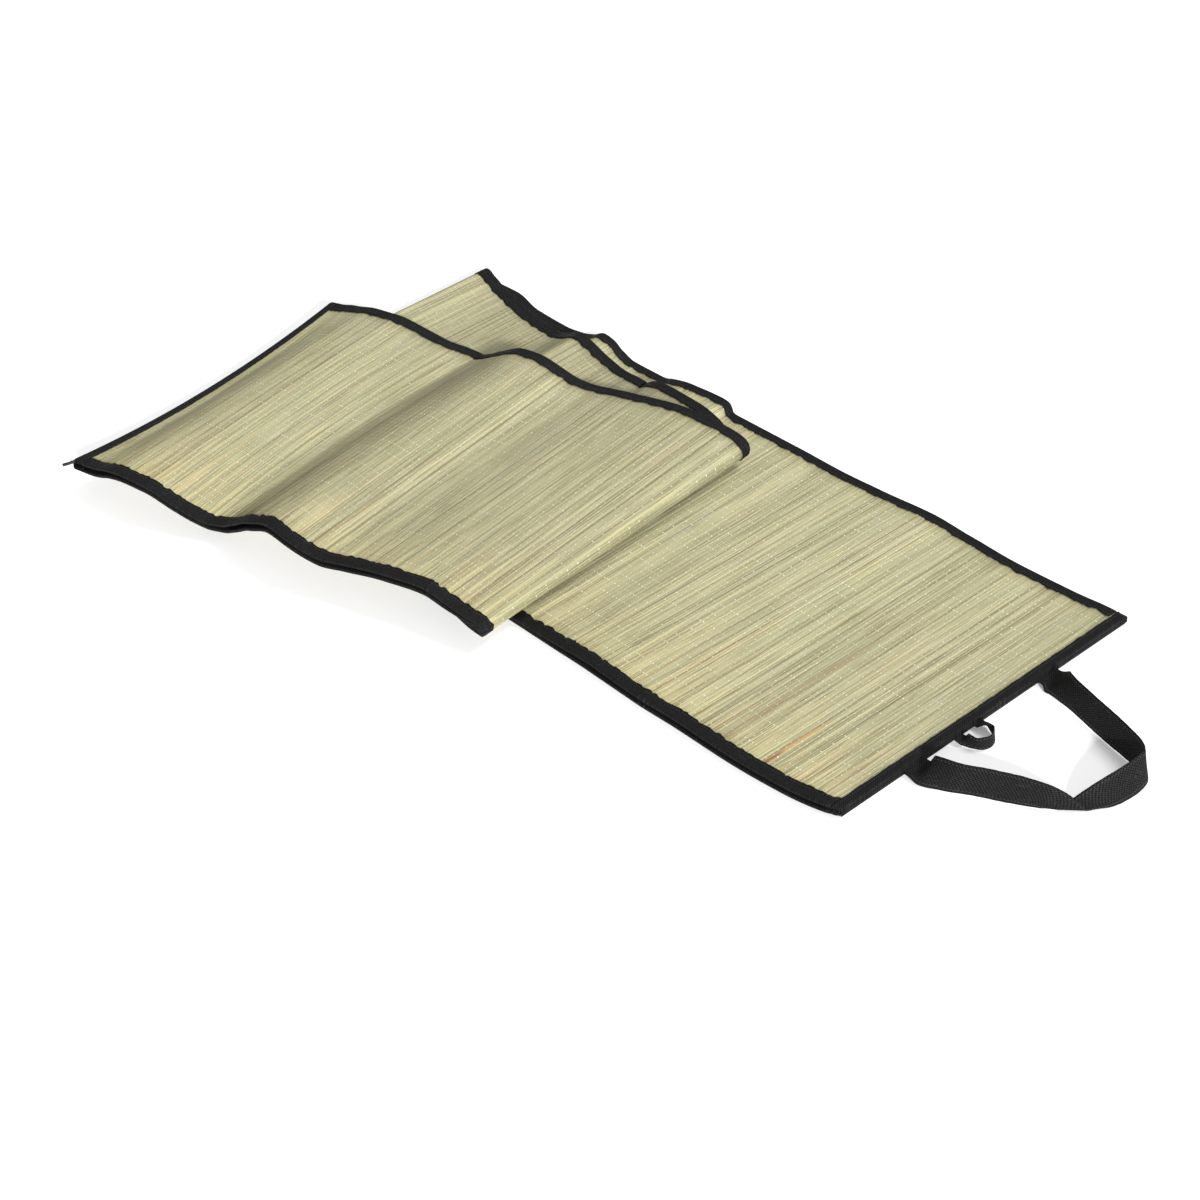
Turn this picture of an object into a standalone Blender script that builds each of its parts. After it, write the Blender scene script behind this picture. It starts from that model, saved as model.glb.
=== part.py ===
"""A straw beach mat with bound edges and a carrying handle.

The mat is two woven straw panels joined along one long edge. It is folded in half on that joint, and the doubled
strip lies in a loose Z: along the floor from the handle end, back over itself, and forward again on top.
Lengths are in millimetres in the tables and are turned into metres when a mesh is made.
"""

from collections import namedtuple

import bmesh
import bpy
import numpy as np

MM = 0.001

# --- cloth and tape ---
STRAW_THICK = 1.5  # one woven straw panel
TAPE_THICK = 0.4  # non-woven binding tape
SEAM_GAP = 0.35  # clear space between a panel and the tape that wraps it
PANEL_APART = 3.3  # between the middles of the two panels of the doubled strip
SIDE_TAPE = 11.5  # width of the binding on the free long edges
SPINE_TAPE = 11.0  # width of the binding over the joint
RIGHT_TAPE, LEFT_TAPE = 9.0, 10.5  # width of the bindings on the two ends
LOWER_BACK = 4.0  # how far the lower panel stands back from the upper at both ends
TAPE_HALF = STRAW_THICK / 2 + SEAM_GAP + TAPE_THICK  # from the middle of a panel to the outside of its tape
LYING = None  # a row that rests on the floor works its height out for itself
ACROSS = (0.0, 0.03, 0.3, 0.65, 0.97, 1.0)  # where a panel has points across its width, from the free edge to the spine

# --- straps ---
HANDLE_WIDE, LOOP_WIDE, STRAP_THICK = 26.0, 11.0, 0.8

# --- smoothness ---
LONGEST_STEP = 48.0  # along the strip, between two sections
FOLD_STEPS = 6  # sections round a fold, from one side to the other
STRAP_STEP = 12.0

# One row for each place where the doubled strip changes its run. "near" is its free long edge and "far" its
# spine, each halfway between the two panels. "crown" lifts the middle of the width, "up" lifts the upper panel's
# free edge and "down" lowers the lower panel's. "apart" is added to PANEL_APART. After a "fold" row the strip turns
# back over itself to reach the next row.
Row = namedtuple(
    "Row", "near_x near_y near_z far_x far_y far_z crown up down apart fold", defaults=(0, 0, 0, 0, False)
)
STRIP = [
    # bottom run: the right end with the handle
    Row(-4, 4, LYING, -2, 361, LYING, up=1.0, apart=1.1),
    Row(-16, -2, LYING, -16, 361, LYING, up=1.5, apart=1.1),
    Row(-52, -10, LYING, -53, 359, LYING, up=2.5),
    Row(-110, -15, LYING, -115, 357, LYING, up=3.0),
    Row(-160, -16, LYING, -168, 360, LYING, up=3.5),
    Row(-205, -18, LYING, -208, 361, 4.8, up=3.0),
    Row(-262, -18, LYING, -270, 357, 4.2, up=4.0),
    Row(-300, -19, LYING, -320, 356, LYING, up=2.0),
    Row(-345, -20, LYING, -372, 357, LYING),
    Row(-385, -21, LYING, -425, 357, LYING),
    # the step up on to a raised storage crease
    Row(-412, -21, LYING, -456, 357, LYING),
    Row(-418, -21, 3.6, -463, 357, 5.0),
    Row(-422, -21, 3.9, -465, 357, 8.8),
    Row(-426, -21, 4.2, -467, 357, 12.4),
    Row(-434, -21, 4.6, -476, 357, 14.0),
    Row(-474, -20, 4.4, -520, 356, 12.0),
    Row(-492, -20, 4.0, -540, 356, 8.0),
    Row(-508, -20, LYING, -558, 356, LYING),
    Row(-556, -19, LYING, -602, 355, 4.2),
    Row(-571, -19, 3.8, -619, 355, 9.5),
    Row(-584, -19, 5.4, -634, 356, 16.0),
    Row(-597, -19, 5.4, -646, 356, 18.0),
    Row(-613, -18, 4.4, -661, 356, 11.0),
    Row(-632, -18, LYING, -682, 356, 5.0),
    Row(-655, -18, LYING, -704, 355, LYING),
    Row(-710, -17, LYING, -752, 357, LYING),
    Row(-765, -15, LYING, -803, 368, LYING),
    # the back fold, then the middle run
    Row(-805, -14, 3.6, -842, 366, 3.8, fold=True),
    Row(-805, -15, 15.8, -842, 362, 18.0),
    Row(-786, -17, 15.0, -824, 356, 17.4),
    Row(-763, -20, 12.6, -801, 351, 13.4),
    Row(-702, -27, 12.3, -742, 337, 12.3),
    Row(-652, -33, 12.3, -690, 330, 13.4),
    Row(-633, -35, 13.2, -668, 328, 20.0),
    Row(-614, -37, 15.4, -649, 327, 28.0),
    Row(-596, -39, 14.2, -633, 326, 25.0),
    Row(-570, -42, 12.6, -606, 324, 18.5),
    Row(-542, -45, 12.3, -578, 321, 16.0),
    Row(-519, -46, 12.3, -556, 319, 18.0),
    Row(-509, -47, 12.3, -547, 318, 18.6),
    Row(-504, -48, 12.2, -543, 318, 17.2),
    Row(-499, -48, 12.4, -539, 317, 20.0),
    Row(-489, -48, 12.9, -531, 316, 25.5),
    Row(-474, -50, 13.6, -517, 315, 29.5),
    Row(-440, -53, 14.5, -487, 311, 33.0),
    Row(-408, -57, 14.2, -456, 308, 34.0),
    Row(-385, -59, 14.4, -433, 305, 31.5),
    Row(-362, -62, 14.6, -409, 301, 23.0),
    # the front fold, then the top run, which is turned towards the free edge
    Row(-343, -64, 16.5, -391, 297, 18.0, fold=True),
    Row(-343, -66, 24.5, -391, 297, 32.0),
    Row(-353, -69, 27.5, -406, 294, 36.5, down=0.8),
    Row(-376, -73, 32.0, -435, 288, 40.5, down=2.0),
    Row(-400, -78, 37.5, -464, 280, 43.0, down=2.5),
    Row(-438, -92, 38.5, -505, 265, 42.5, down=2.5),
    Row(-474, -105, 35.5, -546, 252, 39.5, crown=1, down=3.0),
    Row(-492, -114, 35.0, -565, 243, 44.0, down=3.0),
    Row(-507, -119, 37.0, -580, 238, 50.0, down=3.0),
    Row(-529, -125, 43.0, -604, 232, 57.0, down=3.0),
    Row(-553, -127, 46.0, -628, 230, 54.5, down=3.5),
    Row(-578, -132, 39.0, -655, 227, 42.0, crown=3, down=4.0),
    Row(-604, -133, 24.0, -678, 229, 28.5, crown=7, down=3.6),
    Row(-618, -135, 17.0, -693, 229, 22.5, crown=9, down=3.0),
    Row(-631, -140, 15.0, -710, 223, 25.5, crown=9, down=2.5),
    Row(-644, -147, 19.0, -725, 212, 31.0, crown=8, down=2.5),
    Row(-662, -154, 25.0, -745, 205, 36.5, crown=5, down=2.5),
    Row(-693, -166, 37.0, -780, 190, 47.0, crown=2, down=2.5),
    Row(-718, -173, 39.0, -808, 183, 46.0, crown=0, up=0.5, down=2.5),
    Row(-735, -177, 37.0, -827, 178, 42.5, crown=-2, up=1.0, down=2.5),
    Row(-747, -179, 33.2, -837, 176, 40.8, crown=-5, up=1.5, down=2.5, apart=0.2),
    Row(-759, -181, 30.5, -847, 173, 38.5, crown=-9, up=1.5, down=2.2, apart=0.5),
    Row(-783, -185, 28.0, -866, 169, 35.5, crown=-11, up=1.5, down=1.8, apart=0.7),
]

# The two long edges of each strap, from the root beside the free edge of the mat round to the other root.
Strap = namedtuple("Strap", "a_x a_y a_z b_x b_y b_z")
HANDLE = [
    Strap(-9, 72, 3.65, -9, 98, 3.65),
    Strap(2, 72, 3.65, 2, 98, 3.65),
    Strap(15, 74, 1.8, 13, 90, 19),
    Strap(28, 80, 0.7, 31, 93, 24),
    Strap(49, 94, 0.7, 53, 104, 25),
    Strap(71, 107, 0.7, 75, 115, 25),
    Strap(86, 117, 0.7, 96, 125, 21),
    Strap(92, 121, 0.7, 110, 137, 11),
    Strap(96, 124, 0.7, 121, 149, 0.8),
    Strap(104, 143, 6, 124, 157, 0.8),
    Strap(112, 163, 15, 128, 172, 0.8),
    Strap(117, 185, 21, 130, 190, 0.8),
    Strap(119, 206, 24, 127, 206, 0.8),
    Strap(112, 213, 25, 110, 212, 0.8),
    Strap(81, 225, 25, 77, 220, 0.8),
    Strap(49, 235, 25, 40, 230, 0.8),
    Strap(22, 246, 19, 14, 236, 1.6),
    Strap(2, 263, 3.65, 2, 238, 3.65),
    Strap(-9, 263, 3.65, -9, 238, 3.65),
]
LOOP = [
    Strap(-9, 131, 3.65, -9, 142, 3.65),
    Strap(1.5, 131, 3.65, 1.5, 142, 3.65),
    Strap(8, 134, 1.4, 8, 138, 11),
    Strap(14, 137, 0.7, 14, 138, 11),
    Strap(20, 142, 0.7, 18, 143, 11),
    Strap(22, 149, 0.7, 20, 149, 11),
    Strap(20, 156, 0.7, 18, 155, 11),
    Strap(14, 161, 0.7, 14, 160, 11),
    Strap(8, 164, 1.4, 8, 160, 11),
    Strap(1.5, 167, 3.65, 1.5, 156, 3.65),
    Strap(-9, 167, 3.65, -9, 156, 3.65),
]


def unit(v):
    return v / np.linalg.norm(v, axis=-1, keepdims=True)


def slopes(points, knots):
    """Slopes for a smooth curve that never overshoots its rows: level wherever a value turns or starts to change."""
    gap = np.diff(knots)[:, None]
    rise = np.diff(points, axis=0) / gap
    one, two = 2 * gap[1:] + gap[:-1], gap[1:] + 2 * gap[:-1]
    safe = np.where(rise == 0, 1.0, rise)
    mean = (one + two) / (one / safe[:-1] + two / safe[1:])
    inside = np.where(rise[:-1] * rise[1:] > 0, mean, 0.0)
    return np.concatenate([rise[:1], inside, rise[-1:]])


def curve_through(points, at, knots):
    """A smooth curve through points, which lie at knots, read at the places in at."""
    slope = slopes(points, knots)
    i = np.clip(np.searchsorted(knots, at, side="right") - 1, 0, len(knots) - 2)
    span = (knots[i + 1] - knots[i])[:, None]
    t = (at - knots[i])[:, None] / span
    ends = points[i] * (1 + 2 * t) * (1 - t) ** 2 + points[i + 1] * t**2 * (3 - 2 * t)
    return ends + span * (slope[i] * t * (1 - t) ** 2 - slope[i + 1] * t**2 * (1 - t))


def half_turn(start, end, way, steps):
    """Points strictly between start and end on a half circle that bulges the way given."""
    middle, radius = (start + end) / 2, np.linalg.norm(end - start) / 2
    turn = np.pi * np.arange(1, steps) / steps
    return middle + np.cos(turn)[:, None] * (start - middle) + np.sin(turn)[:, None] * way * radius


def strip_rows():
    """The table as numbers, with the resting rows' heights and the folds' own rows put in."""
    rows, along = [], np.array([0.0, 0.0, 0.0])
    for i, r in enumerate(STRIP):
        rest = (PANEL_APART + r.apart) / 2 + TAPE_HALF
        near = np.array([r.near_x, r.near_y, rest if r.near_z is LYING else r.near_z], float)
        far = np.array([r.far_x, r.far_y, rest if r.far_z is LYING else r.far_z], float)
        extra = np.array([r.crown, r.up, r.down, r.apart], float)
        rows.append(np.concatenate([near, far, extra]))
        if r.fold:
            after = STRIP[i + 1]
            way = unit(along * (1, 1, 0))
            edges = [
                half_turn(near, np.array([after.near_x, after.near_y, after.near_z], float), way, FOLD_STEPS),
                half_turn(far, np.array([after.far_x, after.far_y, after.far_z], float), way, FOLD_STEPS),
            ]
            rows += [np.concatenate([n, f, extra]) for n, f in zip(*edges)]
        elif i + 1 < len(STRIP):
            along = np.array([STRIP[i + 1].near_x - r.near_x, STRIP[i + 1].near_y - r.near_y, 0.0])
    return np.array(rows)


ROWS = strip_rows()
STEP = (
    np.linalg.norm(np.diff(ROWS[:, 0:3], axis=0), axis=1) + np.linalg.norm(np.diff(ROWS[:, 3:6], axis=0), axis=1)
) / 2
KNOTS = np.concatenate([[0], np.cumsum(STEP)])
LENGTH = KNOTS[-1]


def stations(start, end):
    """Distances along the strip where its solids have sections, between start and end."""
    under = np.array([0.5 * RIGHT_TAPE, RIGHT_TAPE, RIGHT_TAPE + LOWER_BACK + SEAM_GAP])
    over = LENGTH - np.array([0.5 * LEFT_TAPE, LEFT_TAPE, LEFT_TAPE + LOWER_BACK + SEAM_GAP])
    inside = []
    for a, b in zip(KNOTS[:-1], KNOTS[1:]):
        pieces = max(1, int(np.ceil((b - a) / LONGEST_STEP)))
        inside += [a + (b - a) * k / pieces for k in range(pieces)]
    fixed = [start] + [s for s in (*under, *over) if start + 1 < s < end - 1] + [end]
    return np.array(sorted(fixed + [s for s in inside if start < s < end and np.abs(np.array(fixed) - s).min() > 3]))


def middle(along, across):
    """Points halfway between the two panels. across is 0 on the free edge and 1 on the spine."""
    row = curve_through(ROWS, along, KNOTS)
    near, far, crown = row[:, None, 0:3], row[:, None, 3:6], row[:, 6, None]
    w = np.asarray(across, float)[None, :]
    points = near + (far - near) * w[..., None]
    points[..., 2] += crown * 4 * w * (1 - w)
    return points


def facing(surface, along, across):
    """Which way the upper panel's face looks, at each point of a surface given as a function."""
    nudge, ends = 0.4, np.clip(across, 0.002, 0.998)
    down_strip = surface(np.minimum(along + nudge, LENGTH), ends) - surface(np.maximum(along - nudge, 0), ends)
    over_strip = surface(along, ends + 0.002) - surface(along, ends - 0.002)
    return unit(np.cross(over_strip, down_strip))


def panel(side):
    """The middle surface of one panel: side is +1 for the upper and -1 for the lower."""

    def surface(along, across):
        row = curve_through(ROWS, along, KNOTS)
        w = np.asarray(across, float)[None, :]
        loose = row[:, 7 if side > 0 else 8, None] * (1 - w) ** 3
        offset = side * ((PANEL_APART + row[:, 9, None]) / 2 + loose)
        return middle(along, across) + facing(middle, along, across) * offset[..., None]

    return surface


UPPER, LOWER = panel(1), panel(-1)


def material(name, rgb, rough):
    made = bpy.data.materials.new(name)
    made.use_nodes = True
    shader = made.node_tree.nodes["Principled BSDF"]
    shader.inputs["Base Color"].default_value = (*rgb, 1)
    shader.inputs["Roughness"].default_value = rough
    return made


def solid(name, points, faces, finish):
    """A closed object from points in millimetres, with its faces turned outwards."""
    mesh = bpy.data.meshes.new(name)
    mesh.from_pydata([tuple(p) for p in (points + SHIFT) * MM], [], faces)
    made = bpy.data.objects.new(name, mesh)
    bpy.context.collection.objects.link(made)
    work = bmesh.new()
    work.from_mesh(mesh)
    bmesh.ops.recalc_face_normals(work, faces=work.faces)
    work.to_mesh(mesh)
    work.free()
    mesh.materials.append(finish)
    return made


def tube(rings, order, name, finish):
    """A solid from closed rings of points, one ring to each section, with a flat cap on each end.

    order says which way each point of a ring lies, low to high. The two faces of a sheet are cut into triangles along
    the same diagonals, low to high, so the sheet keeps its thickness where it twists.
    """
    count, size = rings.shape[:2]
    faces = []
    for i in range(0, (count - 1) * size, size):
        for j in range(size):
            k = (j + 1) % size
            near_j, near_k, next_j, next_k = i + j, i + k, i + size + j, i + size + k
            if order[j] <= order[k]:
                faces += [(near_j, near_k, next_k), (near_j, next_k, next_j)]
            else:
                faces += [(near_j, near_k, next_j), (near_k, next_k, next_j)]
    for base in (0, (count - 1) * size):
        for j in range(size // 2 - 1):
            faces.append((base + j, base + j + 1, base + size - 2 - j, base + size - 1 - j))
    return solid(name, rings.reshape(-1, 3), faces, finish)


def across_at(along, from_edge):
    """Turns distances from the free edge, or from the spine where they are negative, into shares of the width."""
    row = curve_through(ROWS, along, KNOTS)
    wide = np.linalg.norm(row[:, 3:6] - row[:, 0:3], axis=1)
    inward = np.asarray(from_edge, float)[None, :] / wide[:, None]
    return np.where(np.signbit(inward), 1 + inward, inward)


def on_surface(surface, along, across, lift):
    """Points off a surface, each with its own share of the width and its own lift."""
    out = np.empty(across.shape + (3,))
    for j in range(across.shape[1]):
        for i, s in enumerate(along):
            here, w = np.array([s]), across[i : i + 1, j]
            out[i, j] = surface(here, w)[0, 0] + facing(surface, here, w)[0, 0] * lift[i, j]
    return out


def make_panel(name, surface, back, finish):
    """A woven panel inside its bindings. It stands back by the length given at both ends."""
    inset = TAPE_THICK + SEAM_GAP
    along = stations(inset + back, LENGTH - inset - back)
    edges = across_at(along, (inset, -inset))
    across = edges[:, :1] + (edges[:, 1:] - edges[:, :1]) * np.array(ACROSS)[None, :]
    half = np.full(across.shape, STRAW_THICK / 2)
    top, bottom = on_surface(surface, along, across, half), on_surface(surface, along, across, -half)
    rings = np.concatenate([top, bottom[:, ::-1]], axis=1)
    return tube(rings, [*ACROSS, *ACROSS[::-1]], name, finish)


def channel(reach, half):
    """A tape folded over an edge: distances in from the edge and heights off the middle, round the section.

    reach lists how far in the tape has points, deepest first.
    """
    outside, inside = np.array([*reach, 0.0]), np.array([*reach, TAPE_THICK])
    inward = np.concatenate([outside, outside[::-1], inside, inside[::-1]])
    side = np.repeat([1, -1, -1, 1], len(outside))
    wall = np.repeat([0, 0, TAPE_THICK, TAPE_THICK], len(outside))
    return inward, side * (half[:, None] - wall)


def make_side_tape(name, surface, wide, half_of, sign, back, finish):
    """A tape along a long edge: sign is +1 on the free edge and -1 on the spine."""
    along = stations(RIGHT_TAPE + SEAM_GAP + back, LENGTH - LEFT_TAPE - SEAM_GAP - back)
    inward, height = channel([wide], half_of(along))
    signed = np.where(inward == 0, 1e-9, inward) * sign
    rings = on_surface(surface, along, across_at(along, signed), height)
    return tube(rings, inward * sign, name, finish)


def make_end_tape(name, surface, wide, end, back, finish):
    """A tape across one end of one panel: end is 0 for the right end and 1 for the left end."""
    inward, height = channel([wide, wide / 2], np.array([TAPE_HALF]))
    inward = inward + back
    rings = []
    for w in np.array([0.0, *ACROSS[1:-1], 1.0]):
        ring = []
        for a, h in zip(inward, height[0]):
            here, share = np.array([a if end == 0 else LENGTH - a]), np.array([w])
            ring.append(surface(here, share)[0, 0] + facing(surface, here, share)[0, 0] * h)
        rings.append(ring)
    return tube(np.array(rings), inward * (1 if end == 0 else -1), name, finish)


def make_strap(name, table, wide, finish):
    """A flat strap between its two long edges, kept to its true width and off the floor."""
    edges = np.array(table, float)
    mid = (edges[:, 0:3] + edges[:, 3:6]) / 2
    knots = np.concatenate([[0], np.cumsum(np.linalg.norm(np.diff(mid, axis=0), axis=1))])
    steps = np.concatenate(
        [np.linspace(a, b, max(1, int(np.ceil((b - a) / STRAP_STEP))), endpoint=False) for a, b in zip(knots, knots[1:])]
    )
    at = np.append(steps, knots[-1])
    smooth = curve_through(edges, at, knots)
    mid, over = (smooth[:, 0:3] + smooth[:, 3:6]) / 2, unit(smooth[:, 3:6] - smooth[:, 0:3]) * wide / 2
    mid[:, 2] = np.maximum(mid[:, 2], np.abs(over[:, 2]) + 0.5)
    a, b = mid - over, mid + over
    run = np.gradient((a + b) / 2, axis=0)
    off = unit(np.cross(run, b - a)) * STRAP_THICK / 2
    return tube(np.stack([a + off, b + off, b - off, a - off], axis=1), [0, 1, 1, 0], name, finish)


def pair_half(along):
    """From the middle of the doubled strip to the outside of its tape."""
    return (PANEL_APART + curve_through(ROWS, along, KNOTS)[:, 9]) / 2 + TAPE_HALF


def one_half(along):
    return np.full(len(along), TAPE_HALF)


for old in list(bpy.data.objects):
    bpy.data.objects.remove(old, do_unlink=True)

# The origin is under the middle of the whole mat, on the floor.
SHIFT = np.array([367.8, -91.6, 0.0])

straw = material("straw", (0.49, 0.46, 0.26), 0.75)
straw_under = material("straw_under", (0.47, 0.44, 0.25), 0.75)
tape = material("black_tape", (0.02, 0.02, 0.021), 0.85)

make_panel("straw_upper", UPPER, 0, straw)
make_panel("straw_lower", LOWER, LOWER_BACK, straw_under)
make_side_tape("spine_tape", middle, SPINE_TAPE, pair_half, -1, LOWER_BACK, tape)
make_side_tape("side_binding_upper", UPPER, SIDE_TAPE, one_half, 1, 0, tape)
make_side_tape("side_binding_lower", LOWER, SIDE_TAPE, one_half, 1, LOWER_BACK, tape)
make_end_tape("end_binding_right_upper", UPPER, RIGHT_TAPE, 0, 0, tape)
make_end_tape("end_binding_right_lower", LOWER, RIGHT_TAPE, 0, LOWER_BACK, tape)
make_end_tape("end_binding_left_upper", UPPER, LEFT_TAPE, 1, 0, tape)
make_end_tape("end_binding_left_lower", LOWER, LEFT_TAPE, 1, LOWER_BACK, tape)
make_strap("handle_strap", HANDLE, HANDLE_WIDE, tape)
make_strap("closing_loop", LOOP, LOOP_WIDE, tape)
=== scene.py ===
# %% [markdown]
# # A straw beach mat, folded in a loose Z
#
# The real thing is made from two woven straw panels, each about 37 cm wide and 1.83 m long. They are laid face to
# face, joined along one long edge by a black tape, and every other edge is bound with the same tape. A carrying
# handle and a small closing loop are caught in one end. Here the mat is folded in half on the joint, and the doubled
# strip lies in three runs: along the floor, back over itself, and forward again on top.
#
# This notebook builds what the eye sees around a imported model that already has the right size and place. Every
# visible piece is made again with its weave, its wrinkles and its stitches, and takes over from a plain solid.

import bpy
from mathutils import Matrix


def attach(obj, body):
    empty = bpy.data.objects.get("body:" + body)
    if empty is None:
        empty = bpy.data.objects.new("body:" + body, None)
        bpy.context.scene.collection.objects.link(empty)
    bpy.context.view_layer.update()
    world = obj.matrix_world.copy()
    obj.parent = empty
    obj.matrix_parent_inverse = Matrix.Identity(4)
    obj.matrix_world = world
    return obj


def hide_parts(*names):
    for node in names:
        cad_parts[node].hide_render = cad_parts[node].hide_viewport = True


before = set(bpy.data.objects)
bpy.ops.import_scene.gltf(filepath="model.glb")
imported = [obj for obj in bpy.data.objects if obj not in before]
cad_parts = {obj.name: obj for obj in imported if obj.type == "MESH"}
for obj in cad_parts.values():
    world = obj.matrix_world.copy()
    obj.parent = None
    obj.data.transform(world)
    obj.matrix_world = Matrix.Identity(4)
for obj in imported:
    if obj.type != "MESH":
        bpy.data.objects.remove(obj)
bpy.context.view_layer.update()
print("solids to dress:", ", ".join(sorted(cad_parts)))

# %% Tools
from collections import namedtuple
from math import pi, radians

import bmesh
import bpy
import numpy as np
from mathutils import Euler, Matrix, Vector

MM = 0.001


def add_object(name, data):
    made = bpy.data.objects.new(name, data)
    bpy.context.collection.objects.link(made)
    return made


# %% [markdown]
# ## The camera
#
# A mat on the floor is looked at from about standing height, so the view is aimed down by a little over a third of a
# right angle, from the corner where the free edge meets the handle end. A lens a little longer than normal keeps the
# long edges from spreading. The camera comes first because every later choice of detail depends on how near it is.

# %% Camera
CAMERA_PLACE = (1.0218, -0.9346, 0.977)
CAMERA_TILT, CAMERA_TURN = 53.7, 47.5
SENSOR_WIDE, FOCAL_LENGTH = 36.0, 57.6

lens = bpy.data.cameras.new("viewpoint")
lens.sensor_width, lens.lens = SENSOR_WIDE, FOCAL_LENGTH
camera = add_object("viewpoint", lens)
camera.location = CAMERA_PLACE
camera.rotation_euler = Euler((radians(CAMERA_TILT), 0, radians(CAMERA_TURN)))
bpy.context.scene.camera = camera
print("camera at", CAMERA_PLACE, "looking down", 90 - CAMERA_TILT, "degrees")

# %% [markdown]
# ## How the strip lies
#
# Cloth could be dropped on to the floor by a simulation, but a stiff straw mat keeps the creases that it was stored
# with, and those are what make this one look like itself. So the folds are written down instead. Each row of the
# table is one straw: where its free end and its spine end are when the mat lies there. A smooth curve through the
# rows gives every place between them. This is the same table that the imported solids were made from, so each piece
# lands exactly on its solid.

# %% The table of folds
STRAW_THICK, TAPE_THICK, SEAM_GAP, PANEL_APART = 1.5, 0.4, 0.35, 3.3
SIDE_TAPE, SPINE_TAPE = 11.5, 11.0  # how far the tapes reach in from a long edge
RIGHT_TAPE, LEFT_TAPE = 9.0, 10.5  # and from the two ends
Back = namedtuple("Back", "right left")
LEVEL, LOWER_BACK = Back(0, 0), Back(1.0, 0.5)  # how far a panel stands back from the end of the strip at each end
TAPE_HALF = STRAW_THICK / 2 + SEAM_GAP + TAPE_THICK  # from the middle of a panel to the outside of its tape
LYING = None  # a row that rests on the floor works its height out for itself
FOLD_STEPS = 6
SHIFT = np.array([367.8, -91.6, 0.0])  # from the corner that the table is measured from to the middle of the mat

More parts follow.
